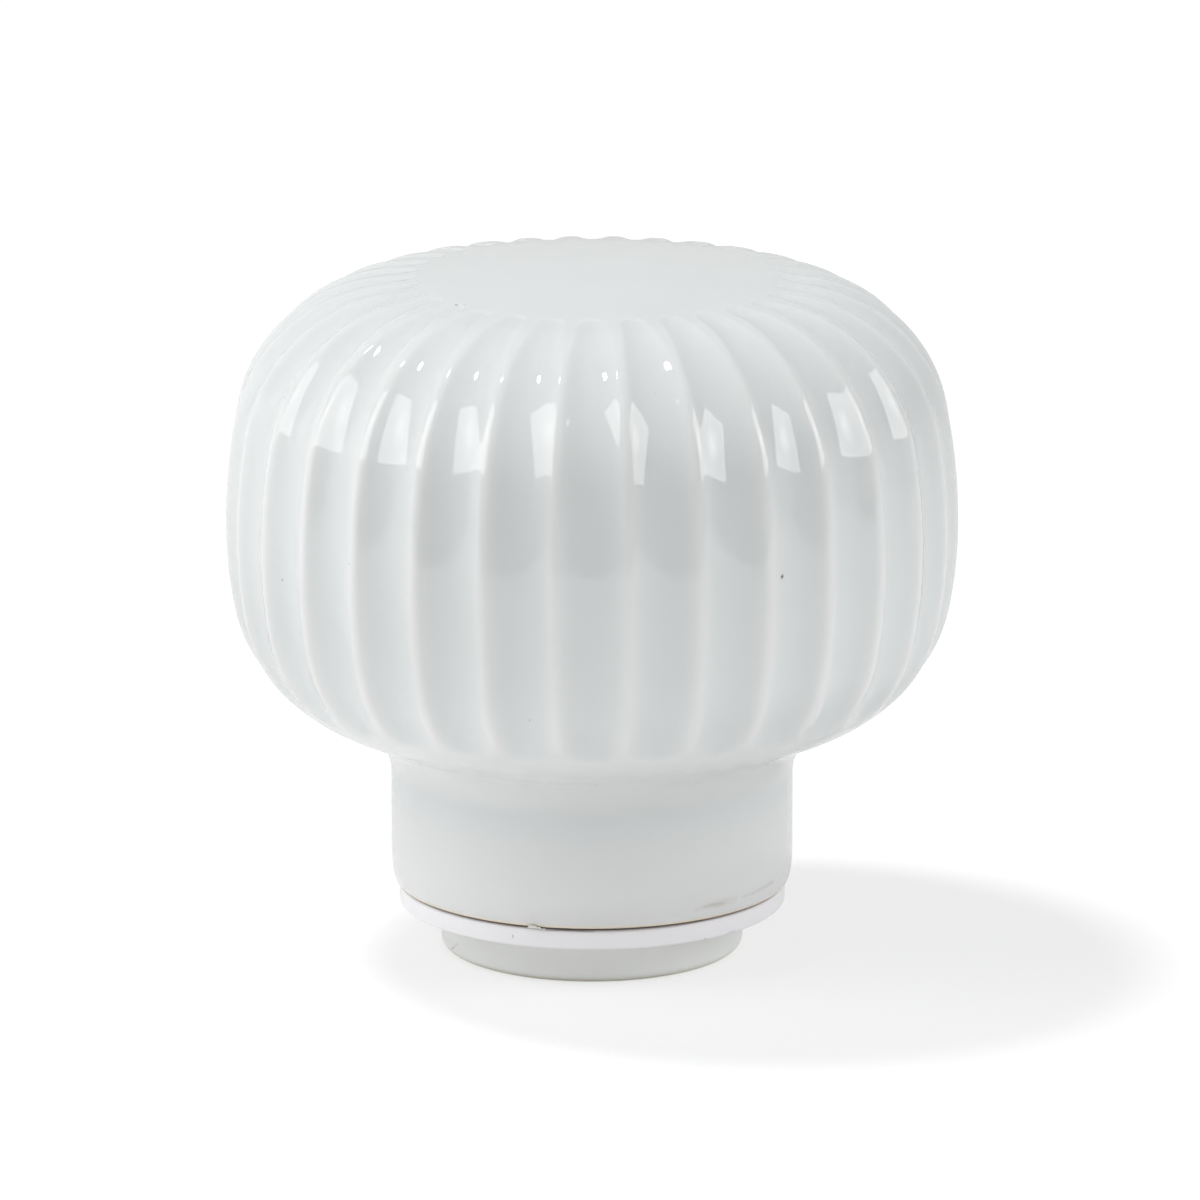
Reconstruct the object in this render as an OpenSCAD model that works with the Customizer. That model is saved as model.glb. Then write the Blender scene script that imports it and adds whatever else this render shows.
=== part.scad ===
// Fluted porcelain pin insulator.
// A hollow glazed head carries a metal thread thimble cemented into its neck.
// It screws onto a nylon thread on a short steel spindle, which a porcelain spigot
// and a collar ring hold. The foot stands on z = 0 and the axis of everything is +Z.

/* [Head] */
// Diameter over the ridges at the widest level
head_d = 95; // [90:0.5:104]
// Height of the crown above the foot
crown_z = 90.2; // [86:0.1:98]
// Height of the widest level
equator_z = 57.3; // [54:0.1:62]
// Radius of the side arc above the widest level
upper_side_r = 76; // [60:1:100]
// Radius of the shoulder arc
shoulder_r = 21.3; // [16:0.1:24]
// Radius of the crown arc
crown_r = 218; // [170:1:280]
// Radius of the side arc below the widest level
lower_side_r = 56.8; // [50:0.1:70]
// Radius of the arc under the head
under_r = 20.1; // [16:0.1:22]
// Height of the lowest point of the arc under the head
underside_z = 29.9; // [27:0.1:33]
// Wall of the hollow head
head_wall = 6; // [4:0.5:8]

/* [Flutes] */
// Number of flutes round the head
flute_count = 32; // [24:1:40]
// Depth of a flute at the widest level
flute_depth = 1.25; // [0.5:0.05:1.8]
// Radius on the crown where the flutes end
flute_end_r = 23.2; // [20:0.1:25]
// Length over which a flute rises to the crown
flute_run = 3; // [1:0.1:4]
// Radius on the crown from which the flutes deepen outwards
flute_rise_r = 21; // [18:0.5:23]
// Radius at which the flutes have their full depth
flute_full_r = 40; // [34:0.5:44]
// Width under the head over which a flute fades out
flute_fade = 4; // [1:0.1:6]

/* [Neck] */
// Diameter of the neck
neck_d = 52.8; // [48:0.1:56]
// Radius of the rim's outer corner
rim_corner_r = 1.3; // [0.8:0.1:2.4]
// Radius of the fillet between neck and head
neck_fillet_r = 8; // [6:0.1:10]

/* [Spigot and collar] */
// Diameter of the spigot
spigot_d = 39.4; // [36:0.1:44]
// Height of the spigot
spigot_h = 6.1; // [5.7:0.1:9]
// Radius of the spigot's bottom edge
spigot_edge_r = 1.3; // [0.5:0.1:2]
// Height of the boss above the spigot
boss_h = 5.9; // [4.5:0.1:9]
// Chamfer on the boss
boss_chamfer = 0.6; // [0.3:0.1:1]
// Diameter of the collar ring
collar_d = 50.4; // [47:0.1:54]
// Height of the collar ring
collar_h = 2.6; // [2:0.1:4]
// Rounding of the collar ring's edges
collar_edge_r = 0.4; // [0.2:0.1:0.8]

/* [Slip bush] */
// Diameter of the slip bush's flange
bush_flange_d = 45; // [42.5:0.5:48]
// Thickness of the slip bush's flange
bush_flange_t = 0.25; // [0.2:0.05:0.8]
// Wall of the slip bush's barrel
bush_wall = 0.8; // [0.6:0.1:1.2]
// Height of the barrel above its flange
bush_barrel_h = 5; // [4.5:0.1:8]
// Height of the snap bead's middle above the flange
bead_z = 3; // [2:0.1:3.5]
// How far the snap bead stands out
bead_out = 0.5; // [0.3:0.1:0.8]
// Width of the snap bead at its root
bead_w = 1.6; // [1:0.1:2]

/* [Spindle] */
// Diameter of the spindle
spindle_d = 16; // [14:0.5:17]
// Diameter of the spindle's foot
foot_d = 22; // [20:0.5:24]
// Height of the spindle's foot
foot_h = 3.6; // [3:0.1:4]
// How far the foot stays above the surface that the spigot stands on
foot_recess = 0.6; // [0.3:0.1:1]
// Diameter of the tapped hole in the foot, at the tips of its thread
tap_d = 6.8; // [5:0.1:8.5]
// Depth of the tapped hole
tap_depth = 14; // [10:0.5:18]
// Chamfer on the spindle's edges
spindle_chamfer = 0.5; // [0.3:0.1:0.8]
// Diameter of the spindle's tail inside the thread head
tail_d = 13; // [10:0.5:14]
// Length of the spindle's tail
tail_h = 17; // [12:0.5:18]

/* [Washers and nut] */
// Thickness of the fibre washer under the porcelain
lower_fibre_t = 0.8; // [0.5:0.1:1.2]
// Thickness of the fibre washer on the boss
upper_fibre_t = 1; // [0.6:0.1:2]
// Diameter of the fibre washer on the boss
upper_fibre_d = 26; // [24:0.5:27]
// Diameter of the flat washer
flat_washer_d = 28; // [26:0.5:30]
// Thickness of the flat washer
flat_washer_t = 2; // [1.5:0.1:3]
// Diameter of the spring lock washer
lock_washer_d = 25; // [23:0.5:27]
// Thickness of the spring lock washer
lock_washer_t = 2; // [1.5:0.1:3]
// Width of the slit in the lock washer
lock_slit_w = 1.2; // [0.8:0.1:2]
// Slant of the slit in the lock washer
lock_slit_slant = 30; // [10:1:40]
// Size of the lock nut across its flats
nut_flats = 24; // [22:0.5:25]
// Height of the lock nut
nut_h = 8; // [6:0.5:10]
// Chamfer on the lock nut's corners
nut_chamfer = 0.8; // [0.4:0.1:1.2]

/* [Pin thread] */
// Outer diameter of the pin thread
thread_d = 25.4; // [23:0.1:27]
// Pitch of the pin thread
thread_pitch = 6.35; // [5:0.05:7.5]
// Depth of the pin thread
thread_depth = 1.9; // [1.2:0.1:2.4]
// Length of the pin thread
thread_h = 20; // [19:0.5:26]
// Width of the thread's crest as a share of the pitch
crest_share = 0.2; // [0.15:0.01:0.25]
// Width of one flank as a share of the pitch
flank_share = 0.25; // [0.2:0.01:0.28]

/* [Thimble and cement] */
// Wall of the thimble's skirt
thimble_wall = 2.25; // [1.8:0.05:3]
// Thickness of the thimble's closed top
thimble_top_t = 3; // [2:0.5:5]
// Thickness of the cement between thimble and porcelain
cement_t = 2.5; // [1.5:0.1:3]
// Depth of the edge seal below the cement
edge_seal_h = 1; // [0.6:0.1:2]
// How far the cement stays below the top of the neck's bore
cement_drop = 3; // [1:0.5:6]

/* [Clearances] */
// Gap between faces that rest on each other but move
seat_gap = 0.05; // [0.02:0.01:0.1]
// Radial clearance of the bush in the thimble
running_gap = 0.05; // [0.02:0.01:0.1]
// Radial clearance of the bush on the boss
boss_gap = 0.15; // [0.1:0.05:0.3]
// Radial clearance between pieces that are assembled for good
assembly_gap = 0.05; // [0.02:0.01:0.1]
// Clearance all round the pin thread
thread_gap = 0.4; // [0.3:0.05:0.5]
// Free room round the nut and washers inside the thimble
stack_room = 1.25; // [1:0.05:2]
// Free height above the nut, and between thread ends
end_room = 0.8; // [0.5:0.1:1.5]
// How far the thimble and seal stay inside the rim
rim_recess = 0.3; // [0.1:0.1:0.5]

/* [Hidden] */

// Steps of round shapes
$fn = 96;
arc_steps = 5;
shoulder_rows = 8;
side_rows = 2;
under_rows = 7;
fillet_rows = 8;
flute_facets = 5;
thread_cols = 24;
rows_per_pitch = 4;
// Overshoot of cuts past the faces that they open
cut_over = 1;
// How far the neck's fillet reaches into the head that it joins
weld = 0.03;
// Turns by which a thread is drawn longer at each end before it is cut to length
spare_turns = 2;

// Levels, from the foot up
collar_z = spigot_h;
collar_top_z = collar_z + collar_h;
flange_z = collar_top_z + seat_gap;
rim_z = flange_z + bush_flange_t + seat_gap;
boss_top_z = spigot_h + boss_h;
foot_top_z = foot_recess + foot_h;
lower_fibre_top_z = foot_top_z + lower_fibre_t;
flat_washer_z = boss_top_z + upper_fibre_t;
lock_washer_z = flat_washer_z + flat_washer_t;
nut_z = lock_washer_z + lock_washer_t;
nut_top_z = nut_z + nut_h;
thread_z = nut_top_z + end_room;
thread_top_z = thread_z + thread_h;
skirt_top_z = thread_z + end_room;
thimble_z = rim_z + rim_recess;
thimble_top_z = thread_top_z + 2 * end_room + thimble_top_t;
bore_top_z = underside_z + head_wall;
cement_z = thimble_z + edge_seal_h;
cement_top_z = bore_top_z - cement_drop;

// Radii, from the axis out
head_r = head_d / 2;
neck_r = neck_d / 2;
spindle_r = spindle_d / 2;
spindle_hole_r = spindle_r + assembly_gap;
tail_r = tail_d / 2;
nut_corner_r = nut_flats / 2 / cos(30);
skirt_r = max(nut_corner_r, flat_washer_d / 2) + stack_room;
barrel_r = skirt_r - running_gap;
boss_r = barrel_r - bush_wall - boss_gap;
thimble_r = skirt_r + thimble_wall;
bore_r = thimble_r + assembly_gap + cement_t + assembly_gap;
foot_hole_r = foot_d / 2 + assembly_gap;
thread_r = thread_d / 2;

// Centres of the tangent arcs that make the head's outline
side_c = [head_r - upper_side_r, equator_z];
crown_c = [0, crown_z - crown_r];
shoulder_c = circles_meet(crown_c, crown_r - shoulder_r, side_c, upper_side_r - shoulder_r);
lower_c = [head_r - lower_side_r, equator_z];
under_c_z = underside_z + under_r;
under_c = [lower_c.x + sqrt(pow(lower_side_r - under_r, 2) - pow(under_c_z - equator_z, 2)), under_c_z];
// Angles at which one arc passes into the next, and the radius of the crown's edge
crown_turn = direction(shoulder_c - crown_c);
crown_edge_r = on_arc(crown_c, crown_r, crown_turn).x;
shoulder_turn = direction(shoulder_c - side_c);
under_turn = direction(under_c - lower_c);
// Fillet that leads from the arc under the head into the neck
neck_fillet_x = neck_r + neck_fillet_r;
neck_fillet_reach = under_r + neck_fillet_r - weld;
neck_fillet_c = [neck_fillet_x,
    under_c_z - sqrt(pow(neck_fillet_reach, 2) - pow(neck_fillet_x - under_c.x, 2))];
under_end = direction(neck_fillet_c - under_c);
under_edge = on_arc(under_c, under_r, under_end);

// Direction of a vector in degrees
function direction(v) = atan2(v.y, v.x);
// Point on an arc
function on_arc(c, r, a) = c + r * [cos(a), sin(a)];
// Points along an arc in equal steps, with both ends
function arc_points(c, r, from, to, steps = arc_steps) =
    [for (i = [0:steps]) on_arc(c, r, from + (to - from) * i / steps)];
// Meeting point of two circles on the right of the line between their centres
function circles_meet(c1, r1, c2, r2) =
    let (d = norm(c2 - c1))
    let (u = (c2 - c1) / d)
    let (along = (d * d + r1 * r1 - r2 * r2) / (2 * d))
    c1 + along * u + sqrt(r1 * r1 - along * along) * [u.y, -u.x];
// A value held between 0 and 1
function share(x) = min(1, max(0, x));

// Rows of the head's skin from the crown down, each as centre, radius and angle of its arc
function arc_rows(c, r, from, to, steps) =
    [for (i = [1:steps]) [c, r, from + (to - from) * i / steps]];
skin_rows = concat(
    [for (r = [flute_end_r / 2, flute_end_r, flute_end_r + flute_run])
        if (r < crown_edge_r) [crown_c, crown_r, acos(r / crown_r)]],
    [[shoulder_c, shoulder_r, crown_turn]],
    arc_rows(shoulder_c, shoulder_r, crown_turn, shoulder_turn, shoulder_rows),
    arc_rows(side_c, upper_side_r, shoulder_turn, 0, side_rows),
    arc_rows(lower_c, lower_side_r, 0, under_turn, side_rows),
    arc_rows(under_c, under_r, under_turn, under_end, under_rows));
skin_cols = flute_count * flute_facets;
// Ring that closes the skin inside the neck's wall, on the slope that the arc ends with
skin_end_r = (neck_r + bore_r) / 2;
skin_end_z = under_edge.y - (under_edge.x - skin_end_r) * tan(90 + under_end);

// Share of a flute's depth at a place on the outline, from its two ends
function flute_share(r, a) =
    a > 0 ? share((r - flute_end_r) / flute_run) * share((r - flute_rise_r) / (flute_full_r - flute_rise_r)) :
    share((r - under_edge.x) / flute_fade) * r / head_r;
// Depth of the hollow in one column, from ridge to ridge
function hollow(col) = 1 - pow(2 * (col % flute_facets) / flute_facets - 1, 2);
function flute_sink(r, a, col) = flute_depth * flute_share(r, a) * hollow(col);
// Angle of a column: a hollow lies at angle 0
function col_angle(col) = 360 / flute_count * (col / flute_facets + 0.5);
function around(p, a) = [p.x * cos(a), p.x * sin(a), p.y];
function skin_point(row, col) =
    let (ridge = on_arc(row[0], row[1], row[2]))
    around(on_arc(row[0], row[1] - flute_sink(ridge.x, row[2], col), row[2]), col_angle(col));

// Outer skin of the head as one closed form, plain below where the neck joins it
module fluted_form() {
    rings = len(skin_rows) + 1;
    bottom = rings * skin_cols + 1;
    points = concat(
        [[0, 0, crown_z]],
        [for (row = skin_rows) for (col = [0:skin_cols - 1]) skin_point(row, col)],
        [for (col = [0:skin_cols - 1]) around([skin_end_r, skin_end_z], col_angle(col))],
        [[0, 0, skin_end_z]]);
    faces = concat(
        [for (c = [0:skin_cols - 1]) [0, 1 + (c + 1) % skin_cols, 1 + c]],
        [for (k = [0:rings - 2]) for (c = [0:skin_cols - 1])
            let (n = (c + 1) % skin_cols, top = 1 + k * skin_cols, low = top + skin_cols)
            each [[top + c, top + n, low + n], [top + c, low + n, low + c]]],
        [for (c = [0:skin_cols - 1])
            let (last = 1 + (rings - 1) * skin_cols)
            [bottom, last + c, last + (c + 1) % skin_cols]]);
    polyhedron(points, faces);
}

// Neck from the rim up into the head's wall, with its fillet, before it is bored
module neck_form() {
    top_z = underside_z + head_wall / 2;
    rotate_extrude() polygon(concat(
        [[0, rim_z]],
        arc_points([neck_r - rim_corner_r, rim_z + rim_corner_r], rim_corner_r, -90, 0),
        arc_points(neck_fillet_c, neck_fillet_r, 180, 180 + under_end, fillet_rows),
        [[under_edge.x, top_z], [0, top_z]]));
}

// Hollow of the head with the bore of its neck
module head_hollow() {
    rotate_extrude() polygon(concat(
        [[0, rim_z - cut_over], [bore_r, rim_z - cut_over], [bore_r, bore_top_z]],
        arc_points(under_c, under_r - head_wall, -90, under_turn),
        arc_points(lower_c, lower_side_r - head_wall, under_turn, 0, side_rows),
        arc_points(side_c, upper_side_r - head_wall, 0, shoulder_turn, side_rows),
        arc_points(shoulder_c, shoulder_r - head_wall, shoulder_turn, crown_turn),
        [[0, crown_z - head_wall]]));
}

module porcelain_head() {
    color("#e8eeec") difference() {
        union() {
            fluted_form();
            neck_form();
        }
        head_hollow();
    }
}

// A flat ring between two radii
module ring(inner, outer, from, height) {
    translate([0, 0, from]) difference() {
        cylinder(r = outer, h = height);
        translate([0, 0, -cut_over]) cylinder(r = inner, h = height + 2 * cut_over);
    }
}

module neck_cement() {
    color("#b8b3a8")
        ring(thimble_r + assembly_gap, bore_r - assembly_gap, cement_z, cement_top_z - cement_z);
}

module cement_edge_seal() {
    color("#4a4845")
        ring(thimble_r + assembly_gap, bore_r - assembly_gap, thimble_z, edge_seal_h - assembly_gap);
}

// Outline of the snap bead, or with some growth of the groove that it sits in
module bead_outline(grow) {
    z = flange_z + bush_flange_t + bead_z;
    half = bead_w / 2 + grow;
    root = barrel_r - bush_wall / 2;
    polygon([[root, z - half], [barrel_r, z - half], [barrel_r + bead_out + grow, z],
        [barrel_r, z + half], [root, z + half]]);
}

// Thread as one closed form, with spare turns below its start and above its end
thread_rows = rows_per_pitch * (ceil(thread_h / thread_pitch) + 2 * spare_turns + 1);
thread_base_z = thread_z - spare_turns * thread_pitch;
// Number of a point on the thread's skin: one full turn on, it lies one pitch of rows up
function thread_vertex(row, col) =
    col < thread_cols ? row * thread_cols + col :
    row + rows_per_pitch <= thread_rows ? (row + rows_per_pitch) * thread_cols :
    thread_rows * thread_cols + thread_cols + row + rows_per_pitch - 1 - thread_rows;
// Place of a row within the pitch and its radius: crest, crest, root, root
function thread_row(row, grow) =
    let (wide = grow / thread_pitch)
    let (k = row % rows_per_pitch)
    let (shift = [-wide, crest_share + wide, crest_share + flank_share + wide, 1 - flank_share - wide])
    [k < 2 ? thread_r + grow : thread_r - thread_depth + grow,
     thread_base_z + thread_pitch * (floor(row / rows_per_pitch) + shift[k])];
function thread_point(row, col, grow) =
    around(thread_row(row, grow) + [0, thread_pitch * col / thread_cols], 360 * col / thread_cols);

module thread_form(grow) {
    tail_rows = [for (row = [thread_rows - rows_per_pitch + 1:thread_rows]) row];
    points = concat(
        [for (row = [0:thread_rows]) for (col = [0:thread_cols - 1]) thread_point(row, col, grow)],
        [for (row = tail_rows) thread_point(row, thread_cols, grow)],
        [[0, 0, thread_base_z + thread_pitch / 2],
         [0, 0, thread_base_z + thread_pitch * (thread_rows / rows_per_pitch + 0.5)]]);
    low_hub = len(points) - 2;
    top_hub = len(points) - 1;
    low_loop = concat(
        [for (col = [0:thread_cols - 1]) thread_vertex(0, col)],
        [for (row = [rows_per_pitch:-1:1]) thread_vertex(row, 0)]);
    top_loop = concat(
        [for (col = [0:thread_cols - 1]) thread_vertex(thread_rows, col)],
        [for (row = [thread_rows:-1:thread_rows - rows_per_pitch + 1]) thread_vertex(row, thread_cols)]);
    ends = len(low_loop);
    faces = concat(
        [for (row = [0:thread_rows - 1]) for (col = [0:thread_cols - 1])
            let (a = thread_vertex(row, col), b = thread_vertex(row, col + 1))
            let (c = thread_vertex(row + 1, col + 1), d = thread_vertex(row + 1, col))
            each [[a, d, c], [a, c, b]]],
        [for (k = [0:ends - 1]) [low_hub, low_loop[k], low_loop[(k + 1) % ends]]],
        [for (k = [0:ends - 1]) [top_hub, top_loop[(k + 1) % ends], top_loop[k]]]);
    polyhedron(points, faces);
}

// The thread between two levels
module thread_between(from, to, grow) {
    intersection() {
        thread_form(grow);
        translate([0, 0, from]) cylinder(r = thread_d, h = to - from);
    }
}

module thread_thimble() {
    color("#a7abae") difference() {
        translate([0, 0, thimble_z]) cylinder(r = thimble_r, h = thimble_top_z - thimble_z);
        translate([0, 0, thimble_z - cut_over]) cylinder(r = skirt_r, h = skirt_top_z - thimble_z + cut_over);
        rotate_extrude() bead_outline(running_gap);
        thread_between(skirt_top_z - cut_over, thimble_top_z - thimble_top_t, thread_gap);
    }
}

module slip_bush() {
    color("#e4e2d6") union() {
        ring(barrel_r - bush_wall, bush_flange_d / 2, flange_z, bush_flange_t);
        ring(barrel_r - bush_wall, barrel_r, flange_z, bush_flange_t + bush_barrel_h);
        rotate_extrude() bead_outline(0);
    }
}

module collar_ring() {
    corner_r = collar_d / 2 - collar_edge_r;
    color("#ebe9ef") rotate_extrude() polygon(concat(
        [[boss_r + assembly_gap, collar_z]],
        arc_points([corner_r, collar_z + collar_edge_r], collar_edge_r, -90, 0),
        arc_points([corner_r, collar_top_z - collar_edge_r], collar_edge_r, 0, 90),
        [[boss_r + assembly_gap, collar_top_z]]));
}

module base_spigot() {
    spigot_r = spigot_d / 2;
    color("#e2e6e1") rotate_extrude() polygon(concat(
        [[foot_hole_r, 0]],
        arc_points([spigot_r - spigot_edge_r, spigot_edge_r], spigot_edge_r, -90, 0),
        [[spigot_r, spigot_h], [boss_r, spigot_h], [boss_r, boss_top_z - boss_chamfer],
         [boss_r - boss_chamfer, boss_top_z], [spindle_hole_r, boss_top_z],
         [spindle_hole_r, lower_fibre_top_z], [foot_hole_r, lower_fibre_top_z]]));
}

module lower_fibre_washer() {
    color("#8a4a34") ring(spindle_hole_r, foot_d / 2, foot_top_z, lower_fibre_t);
}

module spindle() {
    tap_r = tap_d / 2;
    foot_r = foot_d / 2;
    tap_end_z = foot_recess + tap_depth;
    tail_top_z = thread_z + tail_h;
    c = spindle_chamfer;
    color("#b5b8bb") rotate_extrude() polygon([
        [tap_r + c, foot_recess], [foot_r - c, foot_recess], [foot_r, foot_recess + c],
        [foot_r, foot_top_z], [spindle_r, foot_top_z], [spindle_r, thread_z], [tail_r, thread_z],
        [tail_r, tail_top_z - c], [tail_r - c, tail_top_z], [0, tail_top_z],
        [0, tap_end_z + tap_r / 2], [tap_r, tap_end_z], [tap_r, foot_recess + c]]);
}

module upper_fibre_washer() {
    color("#8a4a34") ring(spindle_hole_r, upper_fibre_d / 2, boss_top_z, upper_fibre_t);
}

module flat_washer() {
    color("#c2c4c6") ring(spindle_hole_r, flat_washer_d / 2, flat_washer_z, flat_washer_t);
}

module lock_washer() {
    color("#8f9296") difference() {
        ring(spindle_hole_r, lock_washer_d / 2, lock_washer_z, lock_washer_t);
        translate([lock_washer_d / 2, 0, lock_washer_z + lock_washer_t / 2]) rotate([lock_slit_slant, 0, 0])
            cube([lock_washer_d - spindle_d, lock_slit_w, 3 * lock_washer_t], center = true);
    }
}

module lock_nut() {
    color("#b9bcbf") difference() {
        intersection() {
            translate([0, 0, nut_z]) cylinder(r = nut_corner_r, h = nut_h, $fn = 6);
            rotate_extrude() polygon([
                [0, nut_z], [nut_corner_r - nut_chamfer, nut_z], [nut_corner_r, nut_z + nut_chamfer / 2],
                [nut_corner_r, nut_top_z - nut_chamfer / 2], [nut_corner_r - nut_chamfer, nut_top_z],
                [0, nut_top_z]]);
        }
        translate([0, 0, nut_z - cut_over]) cylinder(r = spindle_hole_r, h = nut_h + 2 * cut_over);
    }
}

module pin_thread_head() {
    color("#dcd8c6") difference() {
        thread_between(thread_z, thread_top_z, 0);
        translate([0, 0, thread_z - cut_over])
            cylinder(r = tail_r + assembly_gap, h = tail_h + cut_over + assembly_gap);
    }
}

porcelain_head();
neck_cement();
cement_edge_seal();
thread_thimble();
slip_bush();
collar_ring();
base_spigot();
lower_fibre_washer();
spindle();
upper_fibre_washer();
flat_washer();
lock_washer();
lock_nut();
pin_thread_head();
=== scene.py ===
# %% [markdown]
# # A fluted porcelain pin insulator
# This lesson dresses a ready engineering model of a small porcelain insulator. The model gives every
# piece its size, its place and its motion, and this script gives the pieces their looks. The head is
# a hollow porcelain knob with thirty-two flutes, which screws onto a short pin in a low foot.
# Everything is in metres, and the pieces stand where the engineering model has them.

# %% Load the frame
from math import acos, atan2, ceil, cos, degrees, exp, floor, pi, radians, sin, sqrt, tan

import bmesh
import bpy
from mathutils import Matrix, Vector
from mathutils.geometry import intersect_sphere_sphere_2d


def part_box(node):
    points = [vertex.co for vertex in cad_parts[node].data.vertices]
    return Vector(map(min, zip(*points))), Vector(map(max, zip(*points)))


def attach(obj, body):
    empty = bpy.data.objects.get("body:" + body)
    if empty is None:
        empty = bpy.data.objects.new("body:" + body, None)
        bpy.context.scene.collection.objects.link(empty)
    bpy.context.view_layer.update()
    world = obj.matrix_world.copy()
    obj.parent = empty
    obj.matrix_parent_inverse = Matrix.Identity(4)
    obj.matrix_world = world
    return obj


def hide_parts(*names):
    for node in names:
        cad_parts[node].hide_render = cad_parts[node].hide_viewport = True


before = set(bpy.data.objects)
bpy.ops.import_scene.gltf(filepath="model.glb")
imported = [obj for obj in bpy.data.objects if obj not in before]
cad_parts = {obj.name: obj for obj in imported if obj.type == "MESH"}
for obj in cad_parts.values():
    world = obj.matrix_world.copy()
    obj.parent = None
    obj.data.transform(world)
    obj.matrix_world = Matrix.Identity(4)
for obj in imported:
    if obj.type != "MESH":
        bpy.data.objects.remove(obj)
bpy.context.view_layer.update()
mm = 0.001
# Points closer together than this become one
weld = 0.001 * mm
print("pieces to dress:", ", ".join(sorted(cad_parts)))

# %% [markdown]
# ## Tools of the lathe
# Almost every piece of an insulator is turned: the clay on a potter's wheel, the steel on a lathe.
# Blender's Screw modifier could turn an outline too, but the spin operator leaves a plain mesh that
# can be pressed and cut afterwards. So the next cells hold a few small helpers: arcs and lines that
# draw an outline, a lathe that spins it, and a last step that makes the mesh an object.


# %% Draw an outline from arcs and lines
def arc(centre, radius, start, end, steps):
    """Points along an arc, as (distance from the axis, height); 0 degrees points out and 90 up."""
    turns = [radians(start + (end - start) * i / steps) for i in range(steps + 1)]
    return [(centre[0] + radius * cos(a), centre[1] + radius * sin(a)) for a in turns]


def line(start, end, steps):
    """Points along a straight stretch, without its first one."""
    shares = [(i + 1) / steps for i in range(steps)]
    return [(start[0] + (end[0] - start[0]) * s, start[1] + (end[1] - start[1]) * s) for s in shares]


print("a quarter arc:", arc((0, 0), 1, 0, 90, 2))


# %% Spin an outline round the axis
wedges = 16


def lathe(bm, outline, columns, closed=True):
    """Spin an outline into a round skin, and return the vertices that it made."""
    before = set(bm.verts)
    points = [bm.verts.new((r, 0, z)) for r, z in outline]
    pairs = list(zip(points, points[1:]))
    if closed:
        pairs.append((points[-1], points[0]))
    edges = [bm.edges.new(pair) for pair in pairs]
    # Spin one wedge, then turn copies into place until the circle is full
    turn = 2 * pi / wedges
    bmesh.ops.spin(bm, geom=points + edges, cent=(0, 0, 0), axis=(0, 0, 1), dvec=(0, 0, 0),
                   angle=turn, steps=columns // wedges)
    while turn < 2 * pi:
        made = [v for v in bm.verts if v not in before]
        faces = list(dict.fromkeys(f for v in made for f in v.link_faces))
        copy = bmesh.ops.duplicate(bm, geom=made + faces)["geom"]
        bmesh.ops.rotate(bm, cent=(0, 0, 0), matrix=Matrix.Rotation(turn, 3, "Z"),
                         verts=[v for v in copy if isinstance(v, bmesh.types.BMVert)])
        turn *= 2
    bmesh.ops.remove_doubles(bm, verts=[v for v in bm.verts if v not in before], dist=weld)
    bmesh.ops.recalc_face_normals(bm, faces=bm.faces)
    bm.normal_update()
    return [v for v in bm.verts if v not in before]


def ring_outline(inner, outer, low, high, edge, steps=4):
    """Outline of a flat ring whose four edges are rounded."""
    corners = [(inner, high, 90), (inner, low, 180), (outer, low, 270), (outer, high, 0)]
    points = []
    for r, z, start in corners:
        centre = (r + edge if r == inner else r - edge, z + edge if z == low else z - edge)
        points += arc(centre, edge, start, start + 90, steps)
    return points


print("a plain ring has", len(ring_outline(1, 2, 0, 1, 0.1)), "points in its outline")


# %% Finish a mesh as a piece
def solid(name, bm, finish):
    """Make the mesh an object of the scene, in one finish."""
    mesh = bpy.data.meshes.new(name)
    bm.to_mesh(mesh)
    bm.free()
    mesh.materials.append(finish)
    made = bpy.data.objects.new(name, mesh)
    bpy.context.scene.collection.objects.link(made)
    return made


def piece(name, bm, stands_for, body, finish, smooth_angle=35):
    """Make the mesh an object that rides on a body and stands for one part of the frame."""
    made = solid(name, bm, finish)
    mesh = made.data
    mesh.shade_smooth()
    mesh.set_sharp_from_angle(angle=radians(smooth_angle))
    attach(made, body)
    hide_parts(stands_for)
    print(f"{name}: {len(mesh.vertices)} points, {len(mesh.polygons)} faces, on {body}")


def levels(node):
    """Lowest height, highest height and outer radius of a turned part of the frame."""
    low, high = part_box(node)
    return low.z, high.z, high.x


def ring(name, node, body, finish, hole_r, edge, columns, steps=4):
    """A flat ring with rounded edges, as large as its part of the frame."""
    low, high, outer_r = levels(node)
    bm = bmesh.new()
    lathe(bm, ring_outline(hole_r, outer_r, low, high, edge, steps), columns)
    piece(name, bm, node, body, finish)


print("the collar lies at", [round(v / mm, 2) for v in levels("collar_ring")], "mm")

# %% [markdown]
# ## Helpers for finishes
# A finish is a node tree. Written out in full, node trees get long, so one helper adds a node, sets
# its values and wires it in a single call. Every pattern reads Object coordinates: they are metres on
# the piece itself, so a speck stays where it is when the head turns or the camera moves.


# %% Add nodes in single calls
def put(finish, socket, value):
    """Wire another node's output to a socket, or set the socket's own value."""
    if isinstance(value, bpy.types.NodeSocket):
        finish.node_tree.links.new(value, socket)
    else:
        socket.default_value = value


def add(finish, kind, *values, out=0, **named):
    """Add a node; values fill its sockets in order, Capital names are sockets, others are settings."""
    made = finish.node_tree.nodes.new("ShaderNode" + kind)
    for name in [n for n in named if n[0].islower()]:
        setattr(made, name, named.pop(name))
    for socket, value in zip(made.inputs, values):
        put(finish, socket, value)
    for name, value in named.items():
        put(finish, made.inputs[name.replace("_", " ")], value)
    return made.outputs[out]


def new_finish(name, **sockets):
    """A material with a Principled shader whose constant values sit on its own sockets."""
    made = bpy.data.materials.new(name)
    made.use_nodes = True
    wire(made, **sockets)
    return made


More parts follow.
